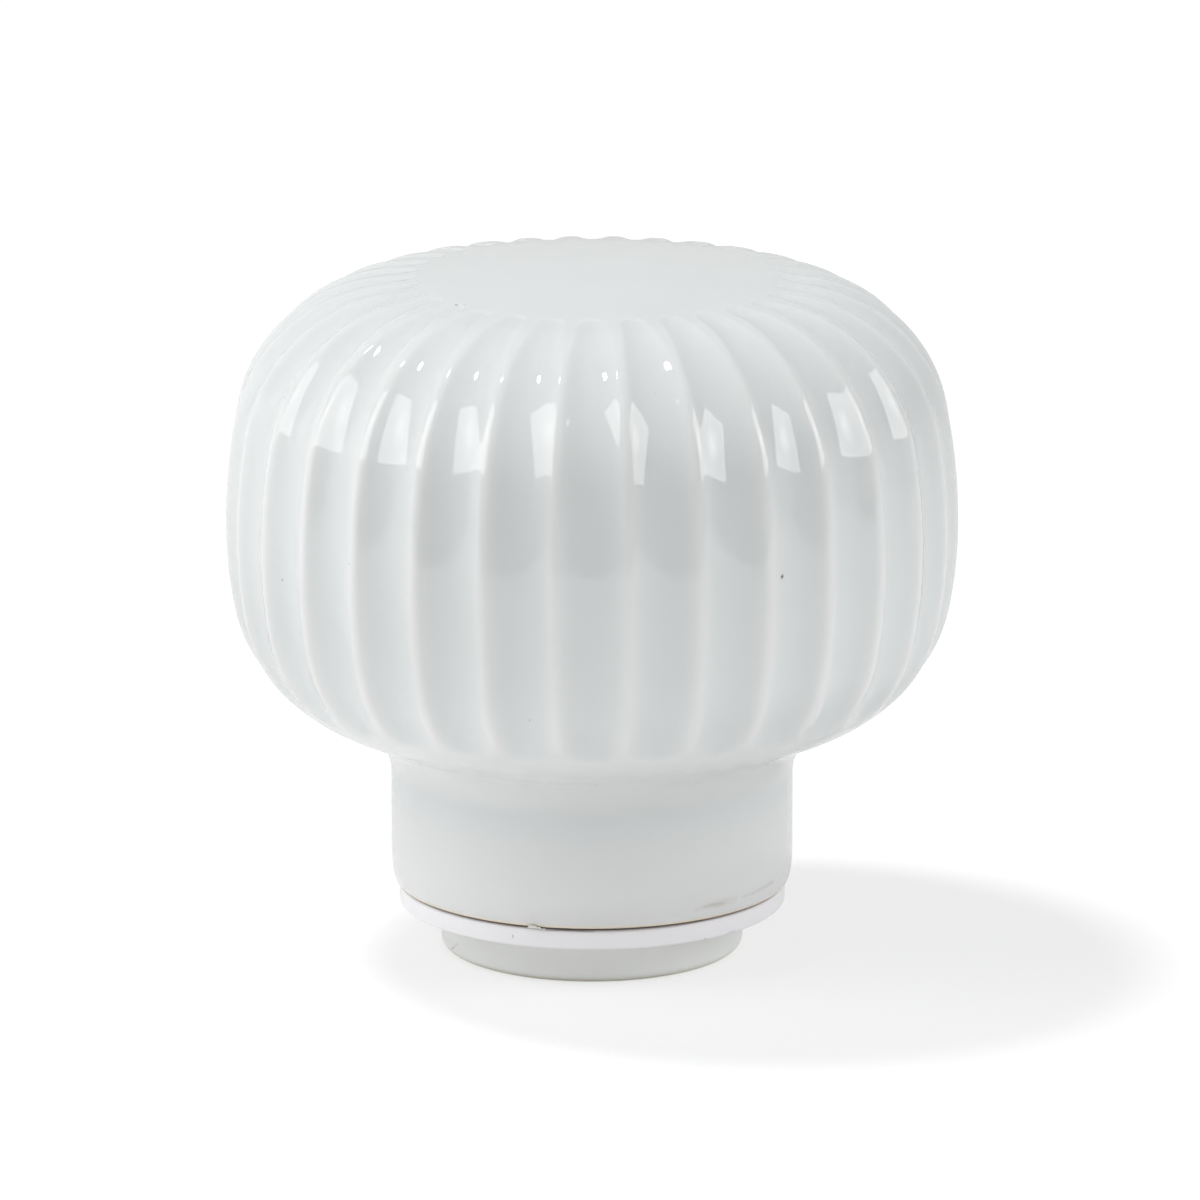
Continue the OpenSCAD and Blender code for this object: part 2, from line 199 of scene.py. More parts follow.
def wire(finish, **sockets):
    """Set or wire sockets of the finish's Principled shader."""
    shader = finish.node_tree.nodes["Principled BSDF"]
    for name, value in sockets.items():
        put(finish, shader.inputs[name.replace("_", " ")], value)


def done(finish):
    """Say how many nodes a finish has, and hand it on."""
    print(f"{finish.name}: {len(finish.node_tree.nodes)} nodes")
    return finish


print("node helpers are ready")


# %% Patterns that several finishes share
def place(finish):
    """Object coordinates, in metres on the piece."""
    return add(finish, "TexCoord", out="Object")


def noise(finish, where, scale, detail=3.0, roughness=0.5):
    """Soft random clouds; scale is in clouds per metre."""
    return add(finish, "TexNoise", Vector=where, Scale=scale, Detail=detail, Roughness=roughness)


def between(finish, value, low, high):
    """A smooth step: 0 below low and 1 above high, or the other way round."""
    return add(finish, "MapRange", value, low, high, interpolation_type="SMOOTHSTEP")


def math(finish, operation, *values):
    """One step of arithmetic."""
    return add(finish, "Math", *values, operation=operation)


def times(finish, first, *others):
    """Multiply values."""
    for other in others:
        first = math(finish, "MULTIPLY", first, other)
    return first


def tint(finish, share, first, second):
    """Mix two colours; the numbers are those of the Mix node's sockets for colours."""
    mix = finish.node_tree.nodes.new("ShaderNodeMix")
    mix.data_type = "RGBA"
    put(finish, mix.inputs[0], share)
    put(finish, mix.inputs[6], first)
    put(finish, mix.inputs[7], second)
    return mix.outputs[2]


def bump(finish, height, distance):
    """Turn a height pattern into small tilts of the surface; distance is the height in metres."""
    return add(finish, "Bump", Distance=distance, Height=height)


def height_of(finish, where):
    """Height above the foot."""
    return add(finish, "SeparateXYZ", where, out="Z")


def axis_distance(finish, where):
    """Distance from the axis that every piece is turned about."""
    flat = add(finish, "VectorMath", where, (1.0, 1.0, 0.0), operation="MULTIPLY")
    return add(finish, "VectorMath", flat, operation="LENGTH", out="Value")


def streak(finish, where, start, end, size):
    """A straight mark between two points: 1 on its line and 0 further off than its size."""
    start, end = Vector(start), Vector(end)
    run = end - start
    from_start = add(finish, "VectorMath", where, start, operation="SUBTRACT")
    along = add(finish, "VectorMath", from_start, run / run.length_squared,
                operation="DOT_PRODUCT", out="Value")
    share = math(finish, "MINIMUM", math(finish, "MAXIMUM", along, 0.0), 1.0)
    nearest = add(finish, "VectorMath", run, operation="SCALE", Scale=share)
    apart = add(finish, "VectorMath", from_start, nearest, operation="DISTANCE", out="Value")
    return between(finish, apart, size, 0.0)


def marks(finish, where, base, listed, dark, broken=1.0):
    """Draw a list of marks over a base colour; each has its two ends, its size and its strength."""
    for start, end, size, strength in listed:
        mark = streak(finish, where, Vector(start) * mm, Vector(end) * mm, size * mm)
        share = times(finish, mark, strength, broken)
        base = tint(finish, share, base, dark)
    return base


def colour(r, g, b):
    """A colour with the alpha that sockets expect."""
    return (r, g, b, 1.0)


print("pattern helpers are ready")

# %% [markdown]
# ## The head's outline
# A potter gives such a head a low crown, a round shoulder, nearly straight sides and a belly that
# runs under. From there a short slope and a rounded corner lead to the neck. All but the slope and
# the neck are arcs, and each passes smoothly into the next. Where two arcs touch, their centres and
# the touching point lie on one line, so the shoulder's centre is found where two helper circles meet.

# %% Arcs of the head
rim_z, crown_z, _ = levels("porcelain_head")
head_r = 47.5 * mm
equator_z = 57.3 * mm
underside_z = 29.9 * mm
neck_r = 26.2 * mm
wall = 6 * mm
bore_r = 20.1 * mm
crown_r = 218 * mm
shoulder_r = 21.3 * mm
side_r = 76 * mm
lower_r = 56.8 * mm
belly_r = 20.1 * mm
fillet_r = 6.5 * mm
under_turn = -66
# The rim draws in a little over the lowest part of the neck
rim_in = 0.75 * mm
rim_up = 4.2 * mm

crown_c = Vector((0, crown_z - crown_r))
side_c = Vector((head_r - side_r, equator_z))
lower_c = Vector((head_r - lower_r, equator_z))
meeting = intersect_sphere_sphere_2d(crown_c, crown_r - shoulder_r, side_c, side_r - shoulder_r)
shoulder_c = max(meeting, key=lambda point: point.x)
belly_z = underside_z + belly_r
belly_c = Vector((lower_c.x + sqrt((lower_r - belly_r) ** 2 - (belly_z - equator_z) ** 2), belly_z))
under_out = Vector((cos(radians(under_turn)), sin(radians(under_turn))))
under_way = Vector((under_out.y, -under_out.x))
belly_end = belly_c + belly_r * under_out
under_run = (neck_r + fillet_r - belly_end.x - fillet_r * under_out.x) / under_way.x
fillet_c = belly_end + under_run * under_way + fillet_r * under_out


def tilt(step):
    """Direction of a step in the outline's plane, in degrees."""
    return degrees(atan2(step.y, step.x))


crown_turn = tilt(shoulder_c - crown_c)
shoulder_turn = tilt(shoulder_c - side_c)
belly_turn = tilt(belly_c - lower_c)
print(f"the shoulder runs from {crown_turn:.1f} to {shoulder_turn:.1f} degrees")

# %% Points of the head's outline, from the crown down and back up inside
# The flutes end here on the crown, and on the left they were pressed further in
flute_end_r = 24.5 * mm
left_reach = 1.9 * mm
# Close rows of points start a little before the flutes do
row_margin = 0.6 * mm
flute_rows_from = degrees(acos((flute_end_r - left_reach - row_margin) / crown_r))
# The outside ends on the rim, this far from the bore
rim_flat = 0.5 * mm

# The last number in each call is how many rows of faces that stretch gets
outer = arc(crown_c, crown_r, 90, flute_rows_from, 4)
outer += arc(crown_c, crown_r, flute_rows_from, crown_turn, 19)[1:]
outer += arc(shoulder_c, shoulder_r, crown_turn, shoulder_turn, 34)[1:]
outer += arc(side_c, side_r, shoulder_turn, 0, 8)[1:]
outer += arc(lower_c, lower_r, 0, belly_turn, 6)[1:]
outer += arc(belly_c, belly_r, belly_turn, under_turn, 28)[1:]
outer += line(outer[-1], belly_end + under_run * under_way, 2)
outer += arc(fillet_c, fillet_r, 180 + under_turn, 180, 12)[1:]
outer += line(outer[-1], (neck_r, rim_z + rim_up), 2)
rim = arc((0, 0), 1, 0, -90, 8)[1:]
outer += [(neck_r - rim_in + rim_in * x, rim_z + rim_up + rim_up * y) for x, y in rim]
outer.append((bore_r + rim_flat, rim_z))

inner = [(bore_r, rim_z)] + line((bore_r, rim_z), (bore_r, underside_z + wall), 5)
inner += arc(belly_c, belly_r - wall, -90, belly_turn, 5)
inner += arc(lower_c, lower_r - wall, belly_turn, 0, 3)[1:]
inner += arc(side_c, side_r - wall, 0, shoulder_turn, 3)[1:]
inner += arc(shoulder_c, shoulder_r - wall, shoulder_turn, crown_turn, 6)[1:]
inner += arc(crown_c, crown_r - wall, crown_turn, 90, 4)[1:]
print(len(outer), "points outside and", len(inner), "inside")

# %% [markdown]
# ## Pressing the flutes
# The real flutes are pressed into the soft clay by a profiled tool. Thirty-two copies of a curved
# cutter could be subtracted with booleans, but that leaves ragged meshes. Here the plain turned head
# gets its points moved inwards along their own normals. The hollow is a shallow bowl in section, the
# ridge between two hollows is rounded, and the top ends are round, like the mark of a fingertip.

# %% Shape of one flute
flute_count = 32
flute_columns = 24
flute_depth = 1.27 * mm
ridge_r = 2.0 * mm
# How much closer the columns stand at a ridge than in a hollow
gather = 0.35
# The hollow grows to its full depth between these two distances from the axis
hollow_from_r = 21 * mm
hollow_full_r = 40 * mm
# At its top end a hollow is narrower than the step from ridge to ridge, and it widens over this run
end_width = 0.74
widen_run = 14 * mm
# Round top ends: length of the end's slope, and how far its sides trail its middle
end_run = 0.65 * mm
end_bow = 1.5 * mm
# Lower ends, above the neck
foot_stop_r = 39.4 * mm
foot_run = 3.6 * mm
foot_bow = 1.2 * mm
# How thin the glaze lies on the crown, under the head and on the neck, 1 being as thin as on a ridge;
# these values also paint the crown darker and the underside and neck lighter
crown_glaze_and_shade = 0.15
under_glaze_and_light = 0.6
neck_glaze_and_light = 0.95
# It gathers in the corner between head and neck, and thins out again above it and below it; this also
# paints shade in the corner under the head
pool_and_shade_z = 23.3 * mm
pool_and_shade_up = 3 * mm
pool_and_shade_down = 9 * mm
# Beside a ridge the glaze thickens over this width, so the crest's light colour, partly painted
# highlight, fades; a ridge that faces up is painted darker with shade
crest_glaze_and_light_w = 1.4 * mm
upward_loss = 0.75
# A flute as deep as this has the full effect
glaze_and_light_depth = 0.45 * mm


def smooth(x):
    """A smooth step from 0 to 1."""
    x = min(1.0, max(0.0, x))
    return x * x * (3 - 2 * x)


def bowl(side, width, depth):
    """Depth of a flute at a distance from its edge: a round crest, then a shallow bowl."""
    if side <= 0:
        return 0.0
    slope = 4 * depth / width
    crest = slope * ridge_r / (1 + 2 * slope * ridge_r / width)
    if side < crest:
        return side ** 2 / (2 * ridge_r)
    start = depth * (1 - (1 - 2 * crest / width) ** 2) - crest ** 2 / (2 * ridge_r)
    return depth * (1 - (1 - 2 * side / width) ** 2) - start


flute_w = 2 * pi * head_r / flute_count
print(f"a flute is {bowl(flute_w / 2, flute_w, flute_depth) / mm:.2f} mm deep at its widest")


# %% Press the flutes into a turned head
def flute_at(r, upwards, across):
    """Width share and depth of a flute at a distance from the axis; across is 0 in its middle."""
    if upwards:
        width = end_width + (1 - end_width) * smooth((r - flute_end_r) / widen_run)
        depth = flute_depth * min(1.0, max(0.0, (r - hollow_from_r) / (hollow_full_r - hollow_from_r)))
        return width, depth * smooth((r - flute_end_r - end_bow * (across / width) ** 2) / end_run)
    return 1.0, flute_depth * r / head_r * smooth((r - foot_stop_r - foot_bow * across ** 2) / foot_run)


def plain_glaze_and_light(z):
    """How thin the glaze lies on the plain parts at a height, with painted light and shade."""
    if z > equator_z:
        return crown_glaze_and_shade
    under = under_glaze_and_light * smooth((z - pool_and_shade_z) / pool_and_shade_up)
    return under + neck_glaze_and_light * smooth((pool_and_shade_z - z) / pool_and_shade_down)


def press_flutes(bm, points):
    """Move the points of the head's outside into flutes, and note how thin the glaze lies there, with
    painted light and shade.
    """
    ridge = bm.verts.layers.float["ridge"]
    middle = Vector((0, 0, equator_z))
    normals = {v: v.normal.copy() for v in points}
    for v in points:
        r = v.co.xy.length
        v[ridge] = plain_glaze_and_light(v.co.z)
        inside = normals[v].dot(v.co - middle) < 0
        if inside or r < flute_end_r - left_reach or v.co.z < belly_c.y - belly_r:
            continue
        upwards = normals[v].z > 0
        reach = left_reach * max(0.0, -v.co.x / r) ** 2 if upwards else 0.0
        turn = atan2(v.co.y, v.co.x) / (2 * pi) * flute_count
        number = floor(turn + 0.5)
        across = turn - number
        across += gather * sin(2 * pi * across) / (2 * pi)
        width, depth = flute_at(r + reach, upwards, 2 * abs(across))
        step = 2 * pi * r / flute_count
        side = (0.5 * width - abs(across)) * step
        # No two flutes are equally deep
        depth *= 1 + 0.05 * sin(2.4 * number) + 0.03 * sin(5.1 * number + 1)
        spun = (number + across) / flute_count * 2 * pi
        v.co.x, v.co.y = r * cos(spun), r * sin(spun)
        flat = normals[v].xy.length
        outwards = Vector((flat * cos(spun), flat * sin(spun), normals[v].z))
        v.co -= outwards * bowl(side, width * step, depth)
        crest = exp(-(max(0.0, side) / crest_glaze_and_light_w) ** 2) * (1 - upward_loss * max(0.0, normals[v].z))
        v[ridge] += (crest - v[ridge]) * min(1.0, depth / glaze_and_light_depth)


print("flutes to press:", flute_count)


# %% [markdown]
# ## The glaze
# Porcelain glaze is a clear, slightly green glass. It runs off the ridges and gathers in the hollows
# and above the neck, so the ridges show the warm clay and the hollows look cooler. The same colours
# also paint light and shade: the ridges are painted lighter, the ridges that face up, the crown and the
# corner between head and neck darker, and the underside and the neck lighter. A photograph of the
# surface could be wrapped round the head, but the pressing step already noted how thin the glaze lies
# at each point, with this painted light and shade, and that note drives the colour exactly. Fine dark
# specks are iron grains in the clay, and the rim, on which the head stood in the kiln, is bare. Its
# lowest edge is stained and painted dark with the seam's shade.

# %% Glaze of the head
# The ridges' colour is lighter than the hollows': partly thin glaze over warm clay, partly painted light
hollow_colour = colour(0.675, 0.70, 0.70)
ridge_colour = colour(0.745, 0.755, 0.745)
cloud_colour = colour(0.75, 0.76, 0.77)
iron_colour = colour(0.10, 0.085, 0.07)
bare_clay = colour(0.80, 0.71, 0.58)
# Stain and painted shade in the seam under the rim
stain_and_shade_colour = colour(0.20, 0.14, 0.10)
smudge_colour = colour(0.40, 0.36, 0.31)
# Heights above the rim's edge where the clay is bare, and where the bare clay is stained and painted
# dark with the seam's shade
bare_up_to = 0.42 * mm
bare_below = 0.26 * mm
stain_and_shade_up_to = 0.04 * mm
stain_and_shade_below = 0.01 * mm
# Both ends (mm), size (mm) and strength of single specks in the glaze
specks = [
    ((23.79, -40.36, 59.23), (23.85, -40.3, 59.3), 0.4, 1.0),
    ((-17.16, -16.39, 88.86), (-17.3, -16.35, 88.85), 0.28, 0.7),
    ((-16.13, -16.79, 88.95), (-16.2, -16.8, 88.94), 0.22, 0.5),
    ((0.37, -29.41, 29.23), (0.45, -29.4, 29.23), 0.25, 0.45),
    ((-39.38, -24.78, 54.95), (-39.3, -24.9, 55.0), 0.25, 0.4),
    ((-30.56, -36.14, 59.86), (-30.6, -36.1, 59.9), 0.2, 0.4),
    ((-7.95, -43.1, 41.1), (-7.6, -43.2, 41.8), 0.15, 0.3),
]
# Smudges of dirt on the neck, above the seam
smudges = [
    ((14.6, -21.9, 11.0), (17.0, -20.0, 10.8), 0.5, 0.5),
    ((13.6, -22.5, 10.9), (18.6, -18.6, 11.0), 0.9, 0.3),
    ((19.5, -17.5, 11.0), (21.0, -15.8, 11.0), 0.5, 0.35),
    ((21.0, -15.8, 11.3), (23.6, -11.6, 11.5), 0.8, 0.35),
    ((6.4, -25.4, 10.6), (7.0, -25.3, 10.6), 0.6, 0.15),
    ((10.4, -23.9, 10.3), (11.1, -23.7, 10.3), 0.6, 0.15),
]


def glaze_finish():
    """Glossy porcelain glaze with cream ridges that are partly painted light, iron specks, and a bare
    rim whose lowest edge is stained and painted with the seam's shade.
    """
    finish = new_finish("porcelain_glaze", IOR=1.7, Subsurface_Weight=0.6, Subsurface_Scale=0.9 * mm,
                        Subsurface_Radius=(1.0, 1.0, 1.0))
    here = place(finish)
    height = height_of(finish, here)
    # How light the colour is here: how thin the glaze lies, with painted light and shade
    glaze_and_light_share = add(finish, "Attribute", attribute_name="ridge", out="Fac")
    cloud = noise(finish, here, 60.0)
    base = tint(finish, glaze_and_light_share, hollow_colour, ridge_colour)
    base = tint(finish, times(finish, cloud, 0.1), base, cloud_colour)
    grains = add(finish, "TexVoronoi", Vector=here, Scale=75.0)
    speck = between(finish, grains, 0.013, 0.008)
    base = tint(finish, times(finish, speck, 0.3), base, iron_colour)
    base = marks(finish, here, base, specks, iron_colour)
    # Clouds that are stretched sideways look like wiped dirt
    wiped = add(finish, "VectorMath", here, (0.3, 0.3, 2.4), operation="MULTIPLY")
    dirt = between(finish, noise(finish, wiped, 500.0), 0.3, 0.7)
    base = marks(finish, here, base, smudges, smudge_colour, dirt)
    rim = between(finish, height, rim_z + bare_up_to, rim_z + bare_below)
    base = tint(finish, rim, base, bare_clay)
    # The rim's lowest edge: stain and painted shade of the seam
    under = between(finish, height, rim_z + stain_and_shade_up_to, rim_z + stain_and_shade_below)
    base = tint(finish, under, base, stain_and_shade_colour)
    polish = add(finish, "MapRange", noise(finish, here, 220.0), 0.3, 0.7, 0.006, 0.014)
    matt = times(finish, rim, 0.6)
    wire(finish, Base_Color=base, Roughness=math(finish, "ADD", polish, matt),
         Normal=bump(finish, noise(finish, here, 70.0, 1.0), 0.012 * mm))
    return done(finish)


glaze = glaze_finish()

# %% Turn and flute the head
lining_columns = 64
bm = bmesh.new()
bm.verts.layers.float.new("ridge")
skin = lathe(bm, outer, flute_count * flute_columns, closed=False)
lining = lathe(bm, inner, lining_columns, closed=False)
# A flat ring on the rim closes the gap between the outside and the lining
open_edges = [e for e in bm.edges if e.is_boundary]
bmesh.ops.triangle_fill(bm, edges=open_edges, use_beauty=True, normal=(0, 0, -1))
bmesh.ops.recalc_face_normals(bm, faces=bm.faces)
bm.normal_update()
press_flutes(bm, skin)
print(len(lining), "points line the hollow inside")
piece("glazed_head", bm, "porcelain_head", "head", glaze, smooth_angle=60)

# %% [markdown]
# ## The collar
# The collar is a flat ring of white polymer that cushions the joint between head and foot. A torus or
# a bevelled cylinder would do, but an outline with round edges on the lathe gives clean rows. Its
# finish is satin, with a faint violet cast, a few dark nicks and a ring of brown dust and painted shade
# under the rim, where two long dark lines along the front of its top edge are painted shade too.

# %% Finish of the collar
polymer_colour = colour(0.915, 0.905, 0.925)
polymer_dull = colour(0.84, 0.84, 0.86)
# Colour of the nicks and of the painted shade under the rim
nick_and_shade_colour = colour(0.17, 0.16, 0.19)
# Brown dust and painted shade under the rim; the bush's flange uses it too
dust_and_shade_colour = colour(0.10, 0.07, 0.05)
collar_z, collar_top_z, _ = levels("collar_ring")
# Dust and painted shade lie in a ring on the top, from the inner distance out to the outer one
dust_and_shade_r = 24.75 * mm
clean_r = 22.2 * mm
nicks_and_seam_shade = [
    ((-10.16, -23.06, 7.2), (-10.18, -23.05, 7.5), 0.16, 0.5),
    ((14.54, -20.59, 6.15), (14.7, -20.47, 6.15), 0.3, 0.75),
    ((17.6, -18.0, 6.2), (18.4, -17.2, 6.2), 0.45, 0.25),
    # These two long marks along the top edge at the front are painted shade under the rim
    ((-6.0, -24.47, 8.62), (0.3, -25.2, 8.62), 0.22, 0.45),
    ((-1.5, -25.16, 8.66), (-0.2, -25.2, 8.66), 0.18, 0.6),
]


def polymer_finish():
    """Satin white polymer, with dust and painted shade on the top where the rim covers it."""
    finish = new_finish("white_polymer", IOR=1.5)
    here = place(finish)
    cloud = noise(finish, here, 90.0)
    base = tint(finish, times(finish, cloud, 0.15), polymer_colour, polymer_dull)
    out_from_axis = axis_distance(finish, here)
    inside = between(finish, out_from_axis, dust_and_shade_r, dust_and_shade_r - 0.9 * mm)
    outside = between(finish, out_from_axis, clean_r, clean_r + 1.2 * mm)
    top = between(finish, height_of(finish, here), collar_top_z - 0.1 * mm, collar_top_z - 0.03 * mm)
    patchy = between(finish, noise(finish, here, 400.0), 0.25, 0.6)
    # Dust and painted shade where the rim covers the top
    dust_and_shade = times(finish, inside, outside, top, patchy)
    base = tint(finish, times(finish, dust_and_shade, 0.85), base, dust_and_shade_colour)
    base = marks(finish, here, base, nicks_and_seam_shade, nick_and_shade_colour)
    wear = add(finish, "MapRange", noise(finish, here, 500.0), 0.3, 0.7, 0.28, 0.42)
    grain = bump(finish, noise(finish, here, 1500.0), 0.01 * mm)
    wire(finish, Base_Color=base, Roughness=wear, Normal=grain)
    return done(finish)


polymer = polymer_finish()

# %% Turn the collar
boss_r = 14.25 * mm
fit_gap = 0.05 * mm
collar_edge = 0.4 * mm
ring_columns = 192
ring("white_collar", "collar_ring", "base", polymer, boss_r + fit_gap, collar_edge,
     ring_columns, steps=6)

# %% [markdown]
# ## The foot
# The foot is a porcelain plug that fits a hole in the support, with a boss that carries the collar.
# It is dipped in a thinner, duller glaze than the head, and the edge it stands on is worn to the clay.

# %% Finish of the foot
foot_colour = colour(0.90, 0.915, 0.885)
foot_pale = colour(0.91, 0.92, 0.90)
scratch_colour = colour(0.30, 0.31, 0.29)
worn_colour = colour(0.70, 0.66, 0.50)
scratches = [
    ((-18.24, -7.44, 1.1), (-17.5, -9.05, 2.3), 0.2, 0.3),
    ((-18.3, -7.3, 1.0), (-18.0, -8.0, 1.5), 0.2, 0.35),
]


def foot_finish():
    """Satin greenish porcelain, worn where it stands."""
    finish = new_finish("satin_porcelain", IOR=1.5)
    here = place(finish)
    cloud = noise(finish, here, 110.0)
    base = tint(finish, times(finish, cloud, 0.3), foot_colour, foot_pale)
    worn = between(finish, height_of(finish, here), 0.9 * mm, 0.15 * mm)
    base = tint(finish, times(finish, worn, 0.7), base, worn_colour)
    base = marks(finish, here, base, scratches, scratch_colour)
    wear = add(finish, "MapRange", noise(finish, here, 300.0), 0.3, 0.7, 0.3, 0.45)
    rough = math(finish, "ADD", wear, times(finish, worn, 0.3))
    grain = bump(finish, noise(finish, here, 700.0), 0.02 * mm)
    wire(finish, Base_Color=base, Roughness=rough, Normal=grain)
    return done(finish)


satin = foot_finish()

# %% Turn the foot
_, boss_top_z, foot_r = levels("base_spigot")
foot_edge_r = 1.3 * mm
boss_edge_r = 0.6 * mm
spindle_hole_r = 8.05 * mm
recess_r = 11.05 * mm
recess_edge = 0.3 * mm
recess_z = levels("lower_fibre_washer")[1]
outline = [(recess_r, recess_z), (recess_r, recess_edge), (recess_r + recess_edge, 0)]
outline += arc((foot_r - foot_edge_r, foot_edge_r), foot_edge_r, -90, 0, 7)
outline += [(foot_r, collar_z), (boss_r, collar_z)]
outline += arc((boss_r - boss_edge_r, boss_top_z - boss_edge_r), boss_edge_r, 0, 90, 4)
outline += [(spindle_hole_r, boss_top_z), (spindle_hole_r, recess_z)]
bm = bmesh.new()
lathe(bm, outline, ring_columns)
piece("porcelain_foot", bm, "base_spigot", "base", satin)

# %% [markdown]
# ## The slip bush
# A thin nylon bush keeps the head's rim off the collar. It is moulded, so its flange is plain, but a
# shred of its thin edge has been torn loose and pokes out of the seam. The bush comes off the lathe,
# and the shred is a small crumpled grid that gets its thickness from the solidify operator.

# %% Finish of the bush
nylon_colour = colour(0.70, 0.68, 0.62)
nylon_pale = colour(0.80, 0.79, 0.75)
# Distances from the axis where dust and painted shade on the flange's edge set in, are full, fade and
# end
dust_and_shade_in_r, dust_and_shade_full_r = 21.9 * mm, 22.3 * mm
dust_and_shade_fade_r, dust_and_shade_end_r = 22.55 * mm, 22.9 * mm


def nylon_finish():
    """Cloudy natural nylon, which lets a little light through, with dust and painted shade on the
    flange's edge under the rim.
    """
    finish = new_finish("natural_nylon", IOR=1.53, Transmission_Weight=0.25)
    here = place(finish)
    cloud = noise(finish, here, 500.0)
    base = tint(finish, cloud, nylon_colour, nylon_pale)
    out_from_axis = axis_distance(finish, here)
    inside = between(finish, out_from_axis, dust_and_shade_end_r, dust_and_shade_fade_r)
    outside = between(finish, out_from_axis, dust_and_shade_in_r, dust_and_shade_full_r)
    # Dust and painted shade on the flange's edge, which the seam shows
    dust_and_shade = times(finish, outside, inside, 0.85)
    base = tint(finish, dust_and_shade, base, dust_and_shade_colour)
    wear = add(finish, "MapRange", cloud, 0.3, 0.7, 0.25, 0.4)
    wire(finish, Base_Color=base, Roughness=wear, Normal=bump(finish, cloud, 0.02 * mm))
    return done(finish)


nylon = nylon_finish()

# %% Turn the bush and add its torn shred
flange_z, barrel_top_z, flange_r = levels("slip_bush")
flange_top_z = flange_z + 0.25 * mm
flange_edge = 0.05 * mm
barrel_r = 15.2 * mm
barrel_bore_r = 14.4 * mm
barrel_edge = 0.2 * mm
bush_columns = 160
bead_z = flange_top_z + 3 * mm
bead_out = 0.5 * mm
bead_half = 0.8 * mm
shred_turn = radians(-106.2)
shred_w = 2.0 * mm
shred_in_r = 22.3 * mm
shred_out_r = 26.1 * mm
film_thick = 0.06 * mm
film_drop = 0.13 * mm
# Its outer edge curls up
curl_from_r = 25.55 * mm
curl_run = 0.5 * mm
curl_up = 0.5 * mm


def shred(bm):
    """A crumpled strip of film that leaves the flange's edge and curls out of the seam."""
    made = bmesh.ops.create_grid(bm, x_segments=16, y_segments=14, size=0.5)
    for v in made["verts"]:
        along, out = v.co.x, v.co.y + 0.5
        crumple = 0.06 * mm * sin(17 * along + 3 * out) * out + 0.03 * mm * sin(31 * along - 5 * out)
        reach = 1 - 0.12 * smooth(abs(2 * along + 0.3)) - 0.03 * sin(23 * along)
        r = shred_in_r + (shred_out_r - shred_in_r) * (1 - (1 - out) ** 2) * reach
        turn = shred_turn + shred_w * along / shred_in_r
        curl = curl_up * smooth((r - curl_from_r) / curl_run)
        z = flange_top_z - film_drop + crumple * 0.6 + curl
        v.co = (r * cos(turn), r * sin(turn), z)
    faces = list(dict.fromkeys(f for v in made["verts"] for f in v.link_faces))
    bmesh.ops.solidify(bm, geom=faces, thickness=film_thick)


outline = [(barrel_bore_r, flange_z)]
outline += [(flange_r - flange_edge, flange_z), (flange_r, flange_z + flange_edge)]
outline += [(flange_r, flange_top_z - flange_edge), (flange_r - flange_edge, flange_top_z)]
outline += [(barrel_r, flange_top_z), (barrel_r, bead_z - bead_half)]
outline += arc((barrel_r, bead_z), bead_out, -60, 60, 6)
outline += [(barrel_r, bead_z + bead_half), (barrel_r, barrel_top_z - barrel_edge)]
outline += [(barrel_r - barrel_edge, barrel_top_z), (barrel_bore_r, barrel_top_z)]
bm = bmesh.new()
lathe(bm, outline, bush_columns)
shred(bm)
piece("nylon_bush", bm, "slip_bush", "bush", nylon)

# %% [markdown]
# ## Cement, seal and thimble
# A zinc thimble with the pin's thread inside is cemented into the neck, and a bead of black sealing
# compound closes the cement's edge. They show only from below, when the head is unscrewed. The seal
# sags a little between its edges, which an arc in its outline gives.

# %% Finishes inside the neck
def grainy(name, light, dark, scale, rough, height, **constants):
    """A grainy finish: two colours in clouds, and bumps of the same size."""
    finish = new_finish(name, **constants)
    here = place(finish)
    cloud = noise(finish, here, scale, 6.0, 0.6)
    wear = add(finish, "MapRange", cloud, 0.25, 0.75, rough, rough + 0.15)
    base = tint(finish, between(finish, cloud, 0.3, 0.7), dark, light)
    wire(finish, Base_Color=base, Roughness=wear, Normal=bump(finish, cloud, height))
    return done(finish)


grout = grainy("cement_grout", colour(0.47, 0.45, 0.41), colour(0.30, 0.285, 0.26),
               scale=900.0, rough=0.8, height=0.15 * mm)
bitumen = grainy("bitumen", colour(0.035, 0.033, 0.03), colour(0.012, 0.012, 0.012),
                 scale=400.0, rough=0.3, height=0.1 * mm)
zinc = grainy("cast_zinc", colour(0.50, 0.51, 0.53), colour(0.34, 0.35, 0.37),
              scale=1200.0, rough=0.42, height=0.04 * mm, Metallic=1.0)


# %% Cut a screw thread
def coil(bm, section, pitch, turns, steps=36):
    """Sweep a closed section of (radius, height) points up a right-hand screw, with closed ends."""
    face = bm.faces.new([bm.verts.new((r, 0, z)) for r, z in section])
    count = ceil(turns * steps)
    bmesh.ops.spin(bm, geom=[face], cent=(0, 0, 0), axis=(0, 0, 1), dvec=(0, 0, pitch / steps),
                   angle=2 * pi * count / steps, steps=count)


def trim(bm, low, high):
    """Cut everything below one height and above another, and close the cuts."""
    for z, up in ((low, -1), (high, 1)):
        geom = list(bm.verts) + list(bm.edges) + list(bm.faces)
        cut = bmesh.ops.bisect_plane(bm, geom=geom, dist=0.0001 * mm, plane_co=(0, 0, z),
                                     plane_no=(0, 0, up), clear_outer=True)
        edges = [e for e in cut["geom_cut"] if isinstance(e, bmesh.types.BMEdge)]
        bmesh.ops.edgenet_fill(bm, edges=edges)
    bmesh.ops.recalc_face_normals(bm, faces=bm.faces)


print("thread helpers are ready")

